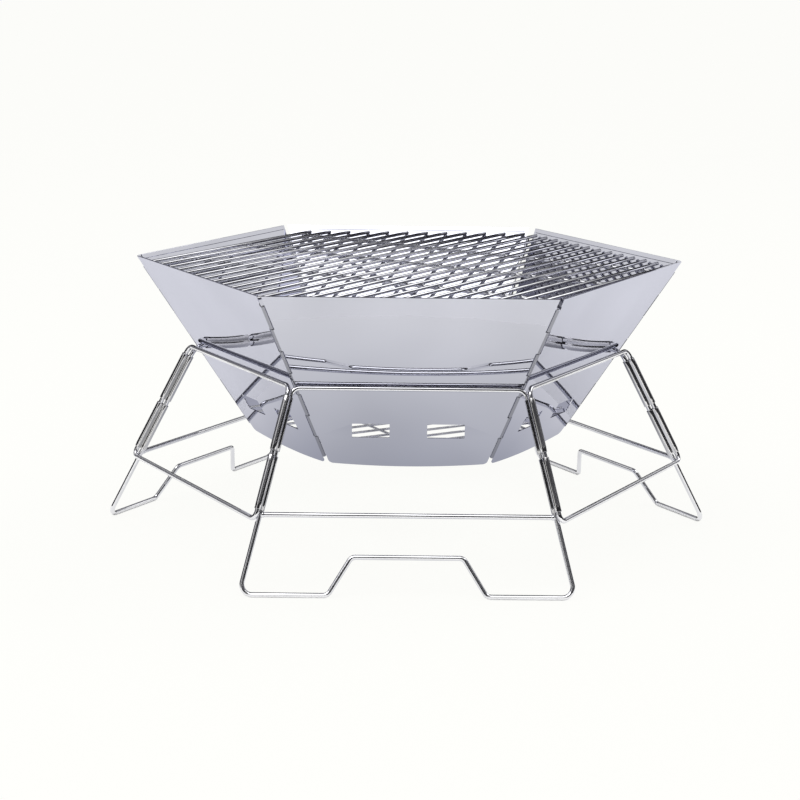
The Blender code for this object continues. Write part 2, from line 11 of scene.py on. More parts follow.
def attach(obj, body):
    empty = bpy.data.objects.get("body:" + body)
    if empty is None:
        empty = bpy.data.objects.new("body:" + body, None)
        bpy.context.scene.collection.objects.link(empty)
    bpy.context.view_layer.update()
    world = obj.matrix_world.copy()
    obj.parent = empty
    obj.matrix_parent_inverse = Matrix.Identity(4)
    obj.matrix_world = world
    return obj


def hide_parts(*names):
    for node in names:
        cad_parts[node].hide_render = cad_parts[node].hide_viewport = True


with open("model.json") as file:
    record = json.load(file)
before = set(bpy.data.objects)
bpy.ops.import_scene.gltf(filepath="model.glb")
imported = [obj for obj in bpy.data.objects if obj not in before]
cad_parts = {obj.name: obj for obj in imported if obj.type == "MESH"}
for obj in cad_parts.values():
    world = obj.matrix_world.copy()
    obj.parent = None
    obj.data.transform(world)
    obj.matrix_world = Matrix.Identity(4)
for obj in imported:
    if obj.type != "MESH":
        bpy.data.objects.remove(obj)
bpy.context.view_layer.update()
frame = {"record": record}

bl_info = {
    "name": "Folding Charcoal Grill Finish",
    "version": (1, 0, 0),
    "blender": (4, 5, 0),
    "location": "View3D > Sidebar > Grill",
    "description": "Builds the wires, sheets, clips and grids of a folding charcoal grill",
    "category": "Object",
}

BODY_OF_NODE = {
    node: body
    for body, nodes in frame["record"]["behaviour"]["bodies"].items()
    for node in nodes
}

# The corners stand at 0, 60, 120, 180, 240 and 300 degrees and the front faces -Y.
SIDES = 6
SIDE_NAMES = ("back_right", "back", "back_left", "front_left", "front", "front_right")
CORNER_NAMES = ("right", "rear_right", "rear_left", "left", "front_left", "front_right")
LONG_SIDES = (0, 2, 4)
OPEN_CORNER = 1
CORNER_COSINE = math.cos(math.pi / SIDES)
UP = Vector((0.0, 0.0, 1.0))

# Wire stand
RAIL_CORNER_RADIUS = 0.1844
FOOT_CORNER_RADIUS = 0.2610
RAIL_HEIGHT = 0.1515
RAIL_STEP = 0.0010
LONG_RAIL_HEIGHT = RAIL_HEIGHT - RAIL_STEP
SHORT_RAIL_HEIGHT = RAIL_HEIGHT + RAIL_STEP
MID_BAR_HEIGHT = 0.0589
SHORT_BAR_HEIGHT = MID_BAR_HEIGHT - 0.0024
FRAME_BEND_RADIUS = 0.0080
SHORT_BAR_BEND_RADIUS = 0.0050
FOOT_BEND_RADIUS = 0.0060
FOOT_LOW_RUN = 0.0680
FOOT_SLANT_RUN = 0.0180
FOOT_RISE = 0.0272
WIRE_RADIUS = 0.0020
LEG_GAP = 0.00015
LEG_SPACING = (2 * WIRE_RADIUS + LEG_GAP) / math.sin(math.radians(60.0))
STAND_SLOPE = (FOOT_CORNER_RADIUS - RAIL_CORNER_RADIUS) / (RAIL_HEIGHT - WIRE_RADIUS)
STAND_TILT = math.atan(STAND_SLOPE)

# Corner clips
CLIP_LENGTH = 0.0435
CLIP_TOP = 0.0080
CLIP_TOPS = {"upper": CLIP_TOP, "lower": CLIP_TOP + CLIP_LENGTH + 0.0045}
CLIP_CLEARANCE = 0.0003
CLIP_SEAM = 0.00008
CLIP_ARC_STEPS = 14
CLIP_WAIST_STEPS = 8
CLIP_STATIONS = 8
HOOK_ARM = 0.0035
HOOK_LIP = 0.0010

# Bowl
RIM_CORNER_RADIUS = 0.2300
FLOOR_CORNER_RADIUS = 0.1310
BOWL_DEPTH = 0.1498
SHEET_THICKNESS = 0.0008
KNUCKLE_RADIUS = 0.0015
KNUCKLE_PROUD = 0.00006
SHEET_MIDDLE = KNUCKLE_RADIUS - KNUCKLE_PROUD - SHEET_THICKNESS / 2
SHEET_INNER = SHEET_MIDDLE - SHEET_THICKNESS / 2
BOWL_SLOPE = (RIM_CORNER_RADIUS - FLOOR_CORNER_RADIUS) / BOWL_DEPTH
PANEL_TILT = math.atan(BOWL_SLOPE * CORNER_COSINE)
PANEL_HEIGHT = BOWL_DEPTH / math.cos(PANEL_TILT)
RIM_HALF_WIDTH = RIM_CORNER_RADIUS / 2
SIDE_LENGTH = math.hypot(RIM_HALF_WIDTH - FLOOR_CORNER_RADIUS / 2, PANEL_HEIGHT)
SIDE_ACROSS = (RIM_HALF_WIDTH - FLOOR_CORNER_RADIUS / 2) / SIDE_LENGTH
SIDE_UP = PANEL_HEIGHT / SIDE_LENGTH
SEAT_GAP = 0.0003
HEM_HEIGHT = 0.0040
HEM_THICKNESS = 0.0006
HEM_CORNER_GAP = 0.0060
HEM_BELOW_RIM = 0.0002
HEM_OVERLAP = 0.00004
HEM_ROUNDING = 0.00024
FLAT_AREA = 0.0003
BOTTOM_BULGE = 0.0035
BOTTOM_CORNER_RADIUS = 0.0050
BOTTOM_STEPS = 28
VENT_OFFSET = 0.0300
VENT_CENTRE_HEIGHT = 0.0355
VENT_CORNER_RADIUS = 0.0006

# Hinges
KNUCKLE_COUNT = 7
KNUCKLE_START = 0.060
KNUCKLE_END = 0.964
KNUCKLE_GAP = 0.0006
KNUCKLE_PITCH = (KNUCKLE_END - KNUCKLE_START) * SIDE_LENGTH / KNUCKLE_COUNT
KNUCKLE_LENGTH = KNUCKLE_PITCH - KNUCKLE_GAP
KNUCKLE_BORE_RADIUS = 0.0009
KNUCKLE_LEAF = 0.0010
LEAF_DROP = 0.00003
ROLL = (90.0, -200.0)
KNUCKLE_STEPS = 20
PANEL_EDGE_INSET = 0.0019
OPEN_CORNER_INSET = 0.0060
TAB_INSET = 0.0008
TAB_GAP = 0.00015
PIN_OVERHANG = 0.0005

# Grids
GRID_CLEARANCE = 0.0003
GRATE_ABOVE_FLOOR = 0.0178
GRATE_WIRE_SPACING = 0.0180
GRATE_WIRE_COUNT = 13
GRATE_ANGLE = math.radians(30.0)
GRATE_BRACES = (-0.0550, 0.0550)
GRATE_BRACE_OVERHANG = 0.0200
GRID_BELOW_RIM = 0.0057
GRID_ROD_SPACING = 0.0152
GRID_ROD_COUNT = 25
GRID_ANGLE = math.radians(57.0)
GRID_BRACES = (-0.0760, 0.0200, 0.1060)
GRID_BRACE_OVERHANG = 0.0030
WELD_DEPTH = 0.0004

# Fine shapes: the rods' rounded ends are pairs of distance and thickness, in rod radii
ROD_SIDES = 14
ROD_END = ((0.0, 0.62), (0.18, 0.88), (0.45, 1.0))
EASE_WIDTH = 0.00012
MERGE_DISTANCE = 1e-7
SQUARE = ((-1, -1), (1, -1), (1, 1), (-1, 1))


def leg_radius(height, offset):
    along = RAIL_CORNER_RADIUS + (RAIL_HEIGHT - height) * STAND_SLOPE
    return along + offset / math.cos(STAND_TILT)


RAIL_APOTHEM = leg_radius(LONG_RAIL_HEIGHT, -LEG_SPACING / 2) * CORNER_COSINE
SEAT_APOTHEM = RAIL_APOTHEM - (KNUCKLE_RADIUS + WIRE_RADIUS + SEAT_GAP) / math.cos(PANEL_TILT)
FLOOR_HEIGHT = LONG_RAIL_HEIGHT - (SEAT_APOTHEM / CORNER_COSINE - FLOOR_CORNER_RADIUS) / BOWL_SLOPE
RIM_HEIGHT = FLOOR_HEIGHT + BOWL_DEPTH
GRATE_HEIGHT = FLOOR_HEIGHT + GRATE_ABOVE_FLOOR
GRID_HEIGHT = RIM_HEIGHT - GRID_BELOW_RIM


def evenly(first, last, steps):
    """Numbers in even steps from the first to the last."""
    return [first + (last - first) * step / steps for step in range(steps + 1)]


def corner_angle(corner):
    return math.radians(60.0 * corner)


def heading(angle):
    return Vector((math.cos(angle), math.sin(angle), 0.0))


def circle_point(radius, degrees, height):
    return heading(math.radians(degrees)) * radius + UP * height


def ring_point(corner, radius, height):
    return circle_point(radius, 60.0 * corner, height)


def leg_point(corner, height, offset):
    return ring_point(corner, leg_radius(height, offset), height)


def leg_axes(corner):
    """Outward, sideways and downward directions at one corner of the stand."""
    level = heading(corner_angle(corner))
    outward = level * math.cos(STAND_TILT) + UP * math.sin(STAND_TILT)
    downward = level * math.sin(STAND_TILT) - UP * math.cos(STAND_TILT)
    return outward, outward.cross(downward), downward


def axes_matrix(x_axis, y_axis, z_axis, origin):
    matrix = Matrix((x_axis, y_axis, z_axis)).transposed().to_4x4()
    matrix.translation = origin
    return matrix


def bowl_radius(height):
    return FLOOR_CORNER_RADIUS + (height - FLOOR_HEIGHT) * BOWL_SLOPE


def sizes():
    return bpy.context.scene.grill_sizes


def colours():
    return bpy.context.scene.grill_colours


def length_input(name, description, default, least, most, precision=4):
    return bpy.props.FloatProperty(
        name=name, description=description, default=default, min=least, max=most,
        precision=precision, unit="LENGTH")


def colour_input(name, description, default):
    return bpy.props.FloatVectorProperty(
        name=name, description=description, default=default, min=0.0, max=1.0, size=3,
        subtype="COLOR")


# Sizes and colours that a user may change
class GrillSizes(bpy.types.PropertyGroup):
    wire_radius: length_input(
        "Stand Wire Radius", "Radius of the bent wire of the stand", WIRE_RADIUS, 0.0005, 0.004)
    wire_sides: bpy.props.IntProperty(
        name="Wire Sides", description="Faces round each wire", default=20, min=8, max=48)
    bend_steps: bpy.props.IntProperty(
        name="Bend Steps", description="Points along each bend of a wire",
        default=14, min=4, max=40)
    clip_wall: length_input(
        "Clip Wall", "Thickness of the sheet that wraps two legs", 0.0005, 0.0002, 0.001)
    clip_waist: length_input(
        "Clip Waist", "How far a clip is pressed in between its two legs", 0.0010, 0.0, 0.0012)
    vent_width: length_input(
        "Vent Width", "Width of an air opening in a panel", 0.0300, 0.01, 0.04)
    vent_height: length_input(
        "Vent Height", "Height of an air opening in a panel", 0.0150, 0.005, 0.02)
    pin_radius: length_input(
        "Hinge Pin Radius", "Radius of the wire in the panel hinges", 0.00055, 0.0002, 0.0008, 5)
    grate_wire_radius: length_input(
        "Grate Wire Radius", "Radius of the charcoal grate's wires", 0.0010, 0.0005, 0.002)
    grid_rod_radius: length_input(
        "Grid Rod Radius", "Radius of the cooking grid's rods", 0.0015, 0.0008, 0.003)


class GrillColours(bpy.types.PropertyGroup):
    sheet: colour_input(
        "Polished Sheet", "Tint of the mirror-polished panels", (0.595, 0.600, 0.672))
    wire: colour_input("Bright Wire", "Tint of the stand's wire", (0.82, 0.82, 0.85))
    clip: colour_input("Clip Steel", "Tint of the corner clips", (0.56, 0.555, 0.565))
    pin: colour_input("Pin Steel", "Tint of the hinge pins", (0.45, 0.45, 0.47))
    rod: colour_input(
        "Grid Rod", "Tint of the cooking grid and the charcoal grate", (0.56, 0.56, 0.59))
    floor: colour_input("Floor", "Colour of the floor and the backdrop", (0.984, 0.984, 0.958))


# Nodes
def feed(tree, node, feeds):
    """Give each named input of a node a value, or a link from a socket or a node's first output."""
    for name, value in feeds.items():
        if isinstance(value, bpy.types.Node):
            value = value.outputs[0]
        if isinstance(value, bpy.types.NodeSocket):
            tree.links.new(value, node.inputs[name])
        else:
            node.inputs[name].default_value = value


def add_node(tree, kind, feeds=None, **settings):
    made = tree.nodes.new(kind)
    for key, value in settings.items():
        setattr(made, key, value)
    feed(tree, made, feeds or {})
    return made


def math_node(tree, operation, *values):
    return add_node(tree, "ShaderNodeMath", dict(enumerate(values)), operation=operation)


# Materials
# Painted shade on the hinge knuckles: the share of the sheet colour they darken to, and how much of that
# each knuckle row takes. It is full at the right corner for a painted dark reflection along that edge,
# and half elsewhere for painted shade in the joints.
KNUCKLE_PAINTED_SHADE = 0.12
KNUCKLE_SHADE_BY_CORNER = {"right": 1.0}
OTHER_KNUCKLE_SHADE = 0.5
SHEET_EDGE_TINT = (0.76, 0.765, 0.82, 1.0)
PANEL_BOW = {"front": 2.3}
OTHER_BOW = 0.5
NOISE_LOW = 0.3
NOISE_HIGH = 0.7
TINT_ENDS = (0.32, 0.68)


def opaque(colour):
    return (*colour, 1.0)


def blank_material(name):
    material = bpy.data.materials.new(name)
    material.use_nodes = True
    tree = material.node_tree
    return material, tree, tree.nodes["Principled BSDF"]


def steel_material(name):
    material, tree, shader = blank_material(name)
    feed(tree, shader, {"Metallic": 1.0})
    return material, tree, shader


def noise(tree, vector, scale, stretch=(1.0, 1.0, 1.0), detail=2.0):
    """Noise texture on a vector that is stretched first."""
    mapping = add_node(tree, "ShaderNodeMapping", {"Scale": stretch, "Vector": vector})
    return add_node(tree, "ShaderNodeTexNoise", {
        "Scale": scale, "Detail": detail, "Vector": mapping})


def ranged(tree, value, low, high, from_low=NOISE_LOW, from_high=NOISE_HIGH):
    """A value spread between two limits."""
    return add_node(tree, "ShaderNodeMapRange", {
        "From Min": from_low, "From Max": from_high, "To Min": low, "To Max": high,
        "Value": value})


def ramped(tree, value, first, second, ends=(0.0, 1.0)):
    """A colour that turns from the first into the second along a value."""
    ramp = add_node(tree, "ShaderNodeValToRGB", {"Fac": value})
    for element, position, colour in zip(ramp.color_ramp.elements, ends, (first, second)):
        element.position = position
        element.color = colour
    return ramp


def tinted(tree, value, colour, dark, light):
    """The colour made darker and lighter along a noise value."""
    first = opaque(part * dark for part in colour)
    second = opaque(min(1.0, part * light) for part in colour)
    return ramped(tree, value, first, second, TINT_ENDS)


def bumped(tree, height, distance, feeds=None):
    return add_node(tree, "ShaderNodeBump", {
        "Distance": distance, "Height": height, **(feeds or {})})


def object_vector(tree):
    return add_node(tree, "ShaderNodeTexCoord").outputs["Object"]


def stored(tree, name, output="Vector"):
    """What the mesh's own attribute holds; grain is the way along and round a wire, in metres."""
    return add_node(tree, "ShaderNodeAttribute", attribute_name=name).outputs[output]


def bow_height(tree, sheet):
    """Height of a bowed sheet: its share of bow times the square across it times the way up it."""
    parts = add_node(tree, "ShaderNodeSeparateXYZ", {"Vector": sheet}).outputs
    square = math_node(tree, "MULTIPLY", parts["X"], parts["X"])
    rising = math_node(tree, "MULTIPLY", square, parts["Y"])
    return math_node(tree, "MULTIPLY", rising, parts["Z"])


def polished_sheet_material(name):
    material, tree, shader = steel_material(name)
    place = object_vector(tree)
    cloud = noise(tree, place, 9.0)
    haze = noise(tree, place, 45.0, detail=4.0)
    sway = noise(tree, place, 7.5, detail=0.0)
    # Knuckles are mixed towards a dark copy of the sheet colour by their stored share: painted shade in
    # the joints and a painted dark reflection at the right corner.
    shaded = add_node(tree, "ShaderNodeMix", {
        "Factor": stored(tree, "knuckle_shade_share", "Fac"),
        "A": tinted(tree, cloud, colours().sheet, 0.94, 1.05),
        "B": opaque(part * KNUCKLE_PAINTED_SHADE for part in colours().sheet)}, data_type="RGBA")
    bow = bow_height(tree, stored(tree, "sheet"))
    feed(tree, shader, {
        "Base Color": shaded.outputs["Result"], "Specular Tint": SHEET_EDGE_TINT,
        "Roughness": ranged(tree, haze, 0.008, 0.022),
        "Normal": bumped(tree, bow, 1.0, {"Normal": bumped(tree, sway, 0.0006)})})
    return material


def drawn_wire_material(name, colour, low_roughness, high_roughness, contrast):
    material, tree, shader = steel_material(name)
    patch = noise(tree, stored(tree, "grain"), 1.0, (60.0, 60.0, 30.0), 1.0)
    feed(tree, shader, {
        "Base Color": tinted(tree, patch, colour, 1.0 - contrast, 1.0 + contrast / 2),
        "Roughness": ranged(tree, patch, low_roughness, high_roughness)})
    return material


def clip_steel_material(name):
    material, tree, shader = steel_material(name)
    grain = stored(tree, "grain")
    streak = noise(tree, grain, 1.0, (260.0, 260.0, 6.0), 0.0)
    patch = noise(tree, grain, 1.0, (120.0, 120.0, 26.0), 1.0)
    mixed = math_node(tree, "MULTIPLY", math_node(tree, "ADD", streak, patch), 0.5)
    feed(tree, shader, {
        "Base Color": tinted(tree, mixed, colours().clip, 0.7, 1.6),
        "Roughness": ranged(tree, patch, 0.07, 0.14),
        "Normal": bumped(tree, streak, 0.00003)})
    return material


def rod_material(name):
    material, tree, shader = steel_material(name)
    patch = noise(tree, object_vector(tree), 70.0, detail=3.0)
    feed(tree, shader, {
        "Base Color": tinted(tree, patch, colours().rod, 0.85, 1.15),
        "Roughness": ranged(tree, patch, 0.04, 0.09),
        "Normal": bumped(tree, patch, 0.00004)})
    return material


def get_material(name, make, *values):
    found = bpy.data.materials.get(name)
    return found if found is not None else make(name, *values)


# Geometry node trees
def new_tree(name, inputs):
    """A modifier tree with its geometry sockets and its named inputs."""
    tree = bpy.data.node_groups.new(name, "GeometryNodeTree")
    tree.is_modifier = True
    tree.interface.new_socket("Geometry", in_out="INPUT", socket_type="NodeSocketGeometry")
    for label, kind, default in inputs:
        socket = tree.interface.new_socket(label, in_out="INPUT", socket_type="NodeSocket" + kind)
        if default is not None:
            socket.default_value = default
    tree.interface.new_socket("Geometry", in_out="OUTPUT", socket_type="NodeSocketGeometry")
    return tree, tree.nodes.new("NodeGroupInput").outputs, tree.nodes.new("NodeGroupOutput")


def close_tree(tree, geometry, given, group_out):
    """End a tree in real geometry with its material."""
    real = add_node(tree, "GeometryNodeRealizeInstances", {"Geometry": geometry})
    feed(tree, group_out, {"Geometry": add_node(tree, "GeometryNodeSetMaterial", {
        "Geometry": real, "Material": given["Material"]})})
    return tree


def named_attribute(tree, name):
    return add_node(tree, "GeometryNodeInputNamedAttribute", {"Name": name})


def store(tree, geometry, name, value, kind="FLOAT"):
    return add_node(tree, "GeometryNodeStoreNamedAttribute", {
        "Name": name, "Geometry": geometry, "Value": value}, data_type=kind, domain="POINT")


def bent_wire_tree():
    """Sweep a round section along edges, rounding each corner by its own bend radius."""
    tree, given, group_out = new_tree("bent_wire", (
        ("Wire Radius", "Float", 0.002), ("Wire Sides", "Int", 20), ("Bend Steps", "Int", 14),
        ("Material", "Material", None)))
    curve = add_node(tree, "GeometryNodeMeshToCurve", {"Mesh": given["Geometry"]})
    fillet = add_node(tree, "GeometryNodeFilletCurve", {
        "Curve": curve, "Count": given["Bend Steps"],
        "Radius": named_attribute(tree, "bend_radius")}, mode="POLY")
    widen = add_node(tree, "GeometryNodeSetCurveRadius", {
        "Curve": fillet, "Radius": named_attribute(tree, "thickness")})
    along = add_node(tree, "GeometryNodeSplineParameter").outputs["Length"]
    circle = add_node(tree, "GeometryNodeCurvePrimitiveCircle", {
        "Resolution": given["Wire Sides"], "Radius": given["Wire Radius"]})
    around = add_node(tree, "GeometryNodeSplineParameter").outputs["Factor"]
    sweep = add_node(tree, "GeometryNodeCurveToMesh", {
        "Curve": store(tree, widen, "along", along),
        "Profile Curve": store(tree, circle, "around", around),
        "Scale": named_attribute(tree, "thickness"), "Fill Caps": True})
    turn = math_node(tree, "MULTIPLY", named_attribute(tree, "around"), 2 * math.pi)
    waves = {"Z": named_attribute(tree, "along")}
    for axis, operation in (("X", "COSINE"), ("Y", "SINE")):
        wave = math_node(tree, operation, turn)
        waves[axis] = math_node(tree, "MULTIPLY", wave, given["Wire Radius"])
    grain = add_node(tree, "ShaderNodeCombineXYZ", waves)
    return close_tree(tree, store(tree, sweep, "grain", grain, "FLOAT_VECTOR"), given, group_out)


def weld_tree():
    """A flattened bead of weld on every point."""
    tree, given, group_out = new_tree("weld_beads", (
        ("Weld Size", "Float", 0.0012), ("Bead Height", "Float", 0.6),
        ("Material", "Material", None)))
    bead = add_node(tree, "GeometryNodeMeshIcoSphere", {
        "Subdivisions": 3, "Radius": given["Weld Size"]})
    shape = add_node(tree, "ShaderNodeCombineXYZ", {"X": 1.0, "Y": 1.0, "Z": given["Bead Height"]})
    spread = add_node(tree, "GeometryNodeInstanceOnPoints", {
        "Points": given["Geometry"], "Instance": bead, "Scale": shape})
    return close_tree(tree, spread, given, group_out)


def knuckle_tree():
    """Rolled knuckles set out in a row along a panel's edge."""
    tree, given, group_out = new_tree("knuckle_row", (
        ("Knuckle", "Object", None), ("Count", "Int", 4), ("First", "Vector", None),
        ("Step", "Vector", None), ("Turn", "Rotation", None), ("Material", "Material", None)))
    row = add_node(tree, "GeometryNodeMeshLine", {
        "Count": given["Count"], "Start Location": given["First"],
        "Offset": given["Step"]}, mode="OFFSET")
    source = add_node(
        tree, "GeometryNodeObjectInfo", {"Object": given["Knuckle"]}, transform_space="ORIGINAL")
    spread = add_node(tree, "GeometryNodeInstanceOnPoints", {
        "Points": row, "Instance": source.outputs["Geometry"], "Rotation": given["Turn"]})
    return close_tree(tree, spread, given, group_out)


def get_tree(name, make):
    found = bpy.data.node_groups.get(name)
    return found if found is not None else make()


def link(name, data):
    obj = bpy.data.objects.new(name, data)
    bpy.context.scene.collection.objects.link(obj)
    return obj


def plain_mesh(source):
    """The mesh that an object shows, in world space; the object itself goes."""
    bpy.context.view_layer.update()
    graph = bpy.context.evaluated_depsgraph_get()
    mesh = bpy.data.meshes.new_from_object(
        source.evaluated_get(graph), preserve_all_data_layers=True, depsgraph=graph)
    mesh.transform(source.matrix_world)
    bpy.data.objects.remove(source, do_unlink=True)
    return mesh


def grown(source_mesh, tree, values):
    """Run a tree on a mesh and return the plain mesh that it makes."""
    source = link("growing", source_mesh)
    modifier = source.modifiers.new(tree.name, "NODES")
    modifier.node_group = tree
    for item in tree.interface.items_tree:
        if item.name in values:
            modifier[item.identifier] = values[item.name]
    mesh = plain_mesh(source)
    bpy.data.meshes.remove(source_mesh)
    return mesh


def mesh_of(work, name):
    """Turn a bmesh into a mesh whose faces look outward; the bmesh goes."""
    bmesh.ops.recalc_face_normals(work, faces=work.faces)
    mesh = bpy.data.meshes.new(name)
    work.to_mesh(mesh)
    work.free()
    return mesh


def joined_mesh(work, meshes, name):
    """Join meshes in a bmesh, with their double points merged; only the new mesh stays."""
    for mesh in meshes:
        work.from_mesh(mesh)
        bpy.data.meshes.remove(mesh)
    bmesh.ops.remove_doubles(work, verts=work.verts, dist=MERGE_DISTANCE)
    return mesh_of(work, name)


def ease_edges(obj):
    """Take the sharpness off an object's edges."""
    ease = obj.modifiers.new("ease", "BEVEL")
    ease.width = EASE_WIDTH
    ease.segments = 2
    ease.limit_method = "ANGLE"
    ease.angle_limit = math.radians(60.0)


def chain_mesh(chains):
    """Edges along each chain of (point, bend radius, thickness), with closed chains marked."""
    edges = []
    first = 0
    for chain, closed in chains:
        last = first + len(chain) - 1
        edges += [(index, index + 1) for index in range(first, last)]
        if closed:
            edges.append((last, first))
        first = last + 1
    points, bends, widths = zip(*(stop for chain, closed in chains for stop in chain))
    mesh = bpy.data.meshes.new("chains")
    mesh.from_pydata(points, edges, [])
    for name, values in (("bend_radius", bends), ("thickness", widths)):
        mesh.attributes.new(name, "FLOAT", "POINT").data.foreach_set("value", values)
    return mesh


def swept(chains, radius, sides, material):
    return grown(chain_mesh(chains), get_tree("bent_wire", bent_wire_tree), {
        "Wire Radius": radius, "Wire Sides": sides, "Bend Steps": sizes().bend_steps,
        "Material": material})


def straight_rod(start, finish, radius):
    """Chain of a straight rod whose two ends are rounded over."""
    along = (finish - start).normalized() * radius
    chain = [(start + along * reach, 0.0, width) for reach, width in ROD_END]
    return chain + [(finish - along * reach, 0.0, width) for reach, width in ROD_END[::-1]]


def beads(points, radius, flatness, material):
    mesh = bpy.data.meshes.new("bead_points")
    mesh.from_pydata(points, [], [])
    return grown(mesh, get_tree("weld_beads", weld_tree), {
        "Weld Size": radius, "Bead Height": flatness, "Material": material})


def fine_piece(node, meshes, material, sharp_angle=40.0, flat_area=math.inf):
    """Join meshes into one piece that stands for a node and rides with its body."""
    work = bmesh.new()
    for layer in ("grain", "sheet"):
        work.verts.layers.float_vector.new(layer)
    # Layer for each point's share of painted knuckle shade.
    work.verts.layers.float.new("knuckle_shade_share")
    joined = joined_mesh(work, meshes, "steel_" + node)
    joined.materials.append(material)
    joined.polygons.foreach_set("material_index", [0] * len(joined.polygons))
    joined.shade_smooth()
    joined.set_sharp_from_angle(angle=math.radians(sharp_angle))
    rounded = [face.area < flat_area for face in joined.polygons]
    joined.polygons.foreach_set("use_smooth", rounded)
    piece = link("steel_" + node, joined)
    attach(piece, BODY_OF_NODE[node])
    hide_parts(node)


# Stand
def frame_corners(side, rail, low, offset):
    second = (side + 1) % SIDES
    return [leg_point(corner, height, offset) for corner, height in (
        (side, rail), (second, rail), (second, low), (side, low))]


def long_frame_chain(side):
    """Rail, two legs and a foot wire that steps up in its middle."""
    top_left, top_right, low_right, low_left = frame_corners(
        side, LONG_RAIL_HEIGHT, sizes().wire_radius, -LEG_SPACING / 2)
    run = (low_right - low_left).normalized()
    rise = (top_left + top_right - low_left - low_right).normalized()
    rise = rise * (FOOT_RISE / rise.z)
    width = (low_right - low_left).length
    step = FOOT_LOW_RUN + FOOT_SLANT_RUN
    chain = [(point, FRAME_BEND_RADIUS, 1.0) for point in (top_right, top_left, low_left)]
    for reach, share in ((FOOT_LOW_RUN, 0), (step, 1), (width - step, 1), (width - FOOT_LOW_RUN, 0)):
        chain.append((low_left + run * reach + rise * share, FOOT_BEND_RADIUS, 1.0))
    return chain + [(low_right, FRAME_BEND_RADIUS, 1.0)]


def short_frame_chain(side):
    points = frame_corners(side, SHORT_RAIL_HEIGHT, SHORT_BAR_HEIGHT, LEG_SPACING / 2)
    bends = [FRAME_BEND_RADIUS] * 2 + [SHORT_BAR_BEND_RADIUS] * 2
    return [(point, bend, 1.0) for point, bend in zip(points, bends)]


class GRILL_OT_wire_stand(bpy.types.Operator):
    """Bend the six wire frames of the stand and weld in the three mid bars"""
    bl_idname = "grill.wire_stand"
    bl_label = "Wire Stand"

    def execute(self, context):
        steel = get_material(
            "wire_finish", drawn_wire_material, colours().wire, 0.03, 0.07, 0.06)
        radius = sizes().wire_radius
        sides = sizes().wire_sides
        bar_end = radius * 0.9
        weld_place = radius * 1.15
        weld_size = radius * 1.28
        for side, name in enumerate(SIDE_NAMES):
            long_side = side in LONG_SIDES
            chain = long_frame_chain(side) if long_side else short_frame_chain(side)
            loop = swept([(chain, True)], radius, sides, steel)
            fine_piece("stand_%s_frame" % name, [loop], steel)
            if not long_side:
                continue
            first = leg_point(side, MID_BAR_HEIGHT, -LEG_SPACING / 2)
            second = leg_point((side + 1) % SIDES, MID_BAR_HEIGHT, -LEG_SPACING / 2)
            run = (second - first).normalized()
            chain = [(first + run * bar_end, 0.0, 1.0), (second - run * bar_end, 0.0, 1.0)]
            bar = swept([(chain, False)], radius, sides, steel)
            welds = beads([first + run * weld_place, second - run * weld_place],
                          weld_size, 0.95, steel)
            fine_piece("stand_%s_mid_bar" % name, [bar, welds], steel)
        return {"FINISHED"}


# Corner clips
def clip_section(open_hook):
    """Middle line of the clip's wall: X points outward and the long frame's leg is at -X."""
    radius = WIRE_RADIUS + CLIP_CLEARANCE + sizes().clip_wall / 2
    half = LEG_SPACING / 2

    def arc(centre, start, finish):
        points = [circle_point(radius, turn, 0.0) for turn in evenly(start, finish, CLIP_ARC_STEPS)]
        return [(centre + point.x, point.y) for point in points]

    if open_hook:
        outside = [(half - HOOK_ARM - HOOK_LIP, -radius)]
        return outside + arc(half, -90.0, 90.0) + [(half - HOOK_LIP, radius)]

    def waist(start, finish, hand):
        points = []
        for across in evenly(start, finish, CLIP_WAIST_STEPS)[1:-1]:
            press = sizes().clip_waist * math.cos(math.pi * across / (2 * half)) ** 2
            points.append((across, hand * (radius - press)))
        return points

    bottom = waist(-half, half, -1.0)
    middle = len(bottom) // 2
    seam_depth = -(radius - sizes().clip_waist)
    first = [(CLIP_SEAM, seam_depth)] + bottom[middle + 1:]
    last = bottom[:middle] + [(-CLIP_SEAM, seam_depth)]
    return first + arc(half, -90.0, 90.0) + waist(half, -half, 1.0) + arc(-half, 90.0, 270.0) + last


def clip_mesh(corner, top):
    """Bent strip of sheet round the two legs, its edges eased."""
    outward, sideways, downward = leg_axes(corner)
    centre = leg_point(corner, RAIL_HEIGHT, 0.0) + downward * (top + CLIP_LENGTH / 2)
    section = clip_section(corner == OPEN_CORNER)
    work = bmesh.new()
    grain = work.verts.layers.float_vector.new("grain")
    rows = []
    for height in evenly(-CLIP_LENGTH / 2, CLIP_LENGTH / 2, CLIP_STATIONS):
        row = [work.verts.new((x, y, height)) for x, y in section]
        for vert in row:
            vert[grain] = (vert.co.x, vert.co.y, height + 0.1 * corner)
        rows.append(row)
    for low, high in zip(rows, rows[1:]):
        for index in range(len(section) - 1):
            work.faces.new((low[index], low[index + 1], high[index + 1], high[index]))
    strip = link("clip", mesh_of(work, "clip"))
    strip.matrix_world = axes_matrix(outward, sideways, outward.cross(sideways), centre)
    wall = strip.modifiers.new("wall", "SOLIDIFY")
    wall.thickness = sizes().clip_wall
    wall.offset = 0.0
    wall.use_even_offset = True
    ease_edges(strip)
    return plain_mesh(strip)


class GRILL_OT_corner_clips(bpy.types.Operator):
    """Wrap the sheet clips that hold the legs together at every corner"""
    bl_idname = "grill.corner_clips"
    bl_label = "Corner Clips"

    def execute(self, context):
        steel = get_material("clip_finish", clip_steel_material)
        for corner, name in enumerate(CORNER_NAMES):
            for label, top in CLIP_TOPS.items():
                node = "clip_%s_%s" % (name, label)
                fine_piece(node, [clip_mesh(corner, top)], steel)
        return {"FINISHED"}


